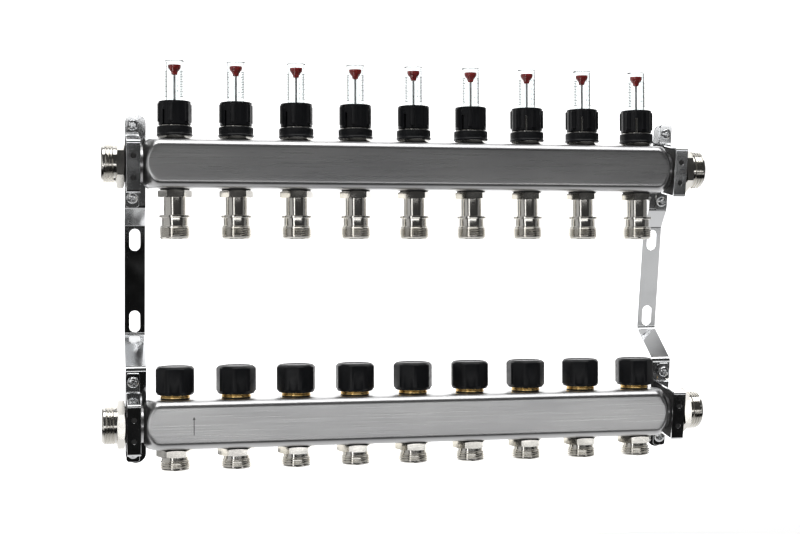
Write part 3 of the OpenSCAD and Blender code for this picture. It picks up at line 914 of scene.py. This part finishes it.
def build_flow_meters():
    housings, collars = at_loops(meter_body(), flow_frame), at_loops(meter_collar(), flow_frame)
    glasses, scales_and_edge_shade = at_loops(sight_glass(), flow_frame), at_loops(scale_marks(), flow_frame)
    piece("meter_housings", housings, NICKEL, "flow_bar", "nickel", "meter_bodies")
    piece("collars", collars, BLACK, "flow_bar", "black_plastic", "meter_collars")
    piece("glass_tubes", glasses, CLEAR, "flow_bar", "clear_plastic", "sight_glasses")
    piece("glass_scales_and_edge_shade", scales_and_edge_shade, INK_AND_EDGE_SHADE, "flow_bar", "black_plastic")
    one_knob, one_rod, one_indicator = knob(), float_rod(), indicator()
    for i, x in zip(LOOPS, PORT_X):
        at_port = flow_frame @ Matrix.Translation((x, 0, 0))
        turned = at_port @ Matrix.Rotation(knob_turn(i), 4, "Z")
        piece(f"knob_{i}", placed(one_knob, turned), BLACK, f"meter_knob_{i}", "black_plastic",
              f"meter_knob_{i}")
        piece(f"indicator_{i}", placed(one_indicator, at_port), RED, f"float_{i}", "red_plastic",
              f"float_{i}")
        piece(f"float_rod_{i}", placed(one_rod, at_port), WIRE, f"float_{i}", "spring_steel")


# ---------------------------------------------------------------- return valves


def insert():
    """Brass insert: grooved collar, threaded body, pin guide and spring chamber."""
    body = lathe([(2.5, 2), (10, 2), (10, 21), (12.2, 21), (12.2, 22.2), (11.7, 22.4), (11.7, 22.8),
                  (12.2, 23), (12.2, 24.2), (12.6, 24.2), (12.6, 35.2), (11.8, 36), (2.06, 36),
                  (2.06, 24), (6, 24), (6, 3), (2.5, 3)], radius=0.2)
    return joined(body, thread_ridge(12.6, 13.4, 1.5, 24.4, 35.8))


def cap():
    """Octagonal cap: bevelled rims, softened corners and a shallow dish in its top."""
    corner = CAP_FLATS / 2 / cos(pi / 8) - 0.45
    side = side_radius(8, CAP_FLATS, corner)
    foot, top, ceiling, bore = CAP_BASE, CAP_TOP, 42, 13.5

    def lower(by, most=CAP_FLATS):
        return lambda a: min(side(a) - by, most)

    outline = [(bore, ceiling), (bore, foot + 0.5), (13.9, foot), (14.3, foot), (14.6, foot + 0.15),
               (lower(0.15, 15.45), foot + 1.5), (side, foot + 2.6), (side, top - 2.7),
               (lower(0.25), top - 1.9), (lower(0.9, 15.0), top - 0.9), (lower(1.7, 14.2), top - 0.2),
               (lower(2.2, 13.7), top), (12.0, top), (11.6, top - 0.5), (0.0, top - 0.6), (0.0, ceiling)]
    return shell([ring(r, z, 192) for r, z in outline])


def cap_turn(i):
    """A different turn for each cap, as they are left by hand."""
    return radians(17 * i % 45)


def build_return_valves():
    piece("valve_inserts", at_loops(insert(), return_frame), BRASS, "return_bar", "brass", "insert_bodies")
    one_cap = cap()
    for i, x in zip(LOOPS, PORT_X):
        at_port = return_frame @ Matrix.Translation((x, 0, 0)) @ Matrix.Rotation(cap_turn(i), 4, "Z")
        piece(f"hand_cap_{i}", placed(one_cap, at_port), BLACK, f"cap_{i}", "black_plastic", f"cap_{i}")


def dress_cad_nodes():
    """Materials for the inner pieces that stay as CAD solids."""
    finish = {"flow_end_seals": RUBBER, "return_end_seals": RUBBER, "flow_port_seals": RUBBER,
              "return_port_seals": RUBBER, "meter_springs": WIRE, "valve_springs": WIRE}
    finish.update({f"valve_pin_{i}": BRASS for i in LOOPS})
    for node, material in finish.items():
        data = frame["nodes"][node].data
        data.materials.clear()
        data.materials.append(material)


# ---------------------------------------------------------------- stage, light and camera


FLOOR_Z = -0.42


def build_stage():
    """A pale sweep: floor, a round cove and an upright back, which shines behind the part."""
    low, back, cove = FLOOR_Z, 0.95, 0.5
    profile = [(-3.2, low), (back - cove, low)]
    for a in (pi / 2 * k / 16 for k in range(17)):
        profile.append((back - cove + cove * sin(a), low + cove - cove * cos(a)))
    profile.append((back, 2.6))
    mesh = bpy.data.meshes.new("sweep")
    points = [(x, y, z) for x in (-3.5, 3.5) for y, z in profile]
    n = len(profile)
    mesh.from_pydata(points, [], [[k, k + 1, n + k + 1, n + k] for k in range(n - 1)])
    for f in mesh.polygons:
        f.use_smooth = True
    sweep = bpy.data.objects.new("sweep", mesh)
    bpy.context.scene.collection.objects.link(sweep)
    pale = new_material("pale_sweep", (0.9, 0.9, 0.9), 0.0, 0.9)
    shader = pale.node_tree.nodes["Principled BSDF"]
    shader.inputs["Emission Color"].default_value = (1, 1, 1, 1)
    coords = pale.node_tree.nodes.new("ShaderNodeTexCoord")
    split = pale.node_tree.nodes.new("ShaderNodeSeparateXYZ")
    pale.node_tree.links.new(coords.outputs["Object"], split.inputs["Vector"])
    glow = ranged(pale, split.outputs["Y"], 0.12, 1.0, tight=(-0.7, 0.1))
    aside = math_node(pale, "ABSOLUTE", math_node(pale, "SUBTRACT", split.outputs["X"], 0.2))
    glow = math_node(pale, "MULTIPLY", glow, ranged(pale, aside, 1.0, 0.0, tight=(0.85, 1.15)))
    pale.node_tree.links.new(glow, shader.inputs["Emission Strength"])
    shader.inputs["Specular IOR Level"].default_value = 0.1
    mesh.materials.append(pale)


def area_light(name, place, target, size, radiance):
    """A soft box of the given brightness, which mirrors show but the camera doesn't."""
    data = bpy.data.lights.new(name, "AREA")
    data.shape = "RECTANGLE"
    data.size, data.size_y = size
    data.energy = radiance * 4 * size[0] * size[1]
    lamp = bpy.data.objects.new(name, data)
    lamp.location = place
    lamp.rotation_euler = (Vector(target) - Vector(place)).to_track_quat("-Z", "Y").to_euler()
    lamp.visible_camera = False
    bpy.context.scene.collection.objects.link(lamp)


def dark_card():
    """A black cloth on the floor in front, seen only in reflections, as in a photo studio."""
    mesh = bpy.data.meshes.new("dark_card")
    corners = [(-3.4, -3.15), (3.4, -3.15), (3.4, -0.5), (-3.4, -0.5)]
    mesh.from_pydata([(x, y, FLOOR_Z + 0.003) for x, y in corners], [], [[0, 1, 2, 3]])
    cloth = new_material("dark_cloth", (0.01, 0.01, 0.01), 0.0, 1.0, Specular_IOR_Level=0.0)
    mesh.materials.append(cloth)
    card = bpy.data.objects.new("dark_card", mesh)
    card.visible_camera = card.visible_diffuse = card.visible_shadow = False
    bpy.context.scene.collection.objects.link(card)


def build_light():
    world = bpy.data.worlds.new("room")
    world.use_nodes = True
    world.node_tree.nodes["Background"].inputs["Color"].default_value = (0.5, 0.5, 0.5, 1)
    world.node_tree.nodes["Background"].inputs["Strength"].default_value = 0.08
    bpy.context.scene.world = world
    area_light("top_box", (0.1, -0.2, 1.5), (0.1, -0.2, 0), (2.2, 0.9), 2.2)
    area_light("left_panel", (-1.9, -0.3, 0.2), (0, -0.05, 0), (2.2, 1.5), 0.32)
    area_light("left_strip", (-1.15, -1.75, 0.35), (-0.1, -0.05, 0), (0.32, 1.5), 1.5)
    area_light("right_panel", (1.9, -0.1, 0.2), (0, -0.05, 0), (1.6, 1.5), 0.14)
    area_light("front_strip", (0, -2.5, 0.13), (0, 0, -0.1), (3.2, 0.34), 1.3)
    area_light("right_low", (0.95, -1.5, -0.28), (0.23, -0.02, 0), (0.5, 0.22), 0.45)
    dark_card()


def build_camera():
    """A view slightly from the left, with the leaning bars' up direction upright in it."""
    place, roll = (-0.2629, -1.1847, 0.2196), radians(-0.22)
    data = bpy.data.cameras.new("camera")
    data.lens, data.sensor_width = 63.0, 36.0
    camera = bpy.data.objects.new("camera", data)
    forward = Vector((0.2120, 0.9624, -0.1697)).normalized()
    up = Vector((0, sin(LEAN), cos(LEAN)))
    right = forward.cross(up).normalized()
    up = right.cross(forward)
    turn = Matrix((right, up, -forward)).transposed().to_4x4() @ Matrix.Rotation(roll, 4, "Z")
    camera.matrix_world = Matrix.Translation(place) @ turn
    bpy.context.scene.collection.objects.link(camera)
    bpy.context.scene.camera = camera
    bpy.context.scene.view_settings.view_transform = "Standard"


build_camera()
build_wall_frame()
build_bars()
build_flow_meters()
build_return_valves()
dress_cad_nodes()
build_stage()
build_light()
